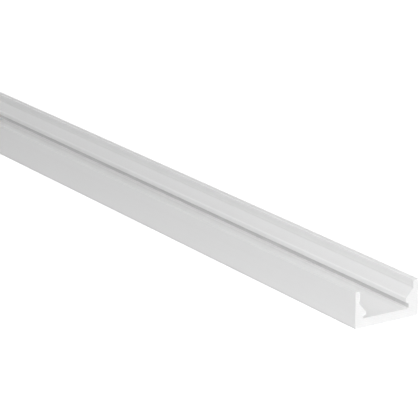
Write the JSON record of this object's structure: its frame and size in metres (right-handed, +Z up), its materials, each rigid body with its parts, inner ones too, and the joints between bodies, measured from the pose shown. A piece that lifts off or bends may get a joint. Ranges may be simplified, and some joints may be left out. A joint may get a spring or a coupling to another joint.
{
  "type": "led strip aluminium profile",
  "caption": "Slim U-shaped extruded aluminium channel with ribbed inner walls, made to hold an LED strip on its floor under a snap-in cover.",
  "frame": {"origin": "centre of the flat underside, midway along the length and across the width", "axes": "+X along the length, +Y towards the thicker wall with the higher rib, +Z up out of the channel's open side"},
  "size_m": [0.5, 0.016, 0.008],
  "materials": {
    "anodised_aluminium": "satin, finely drawn along the length"
  },
  "bodies": {
    "root": {"channel_profile": "anodised_aluminium"}
  },
  "joints": []
}
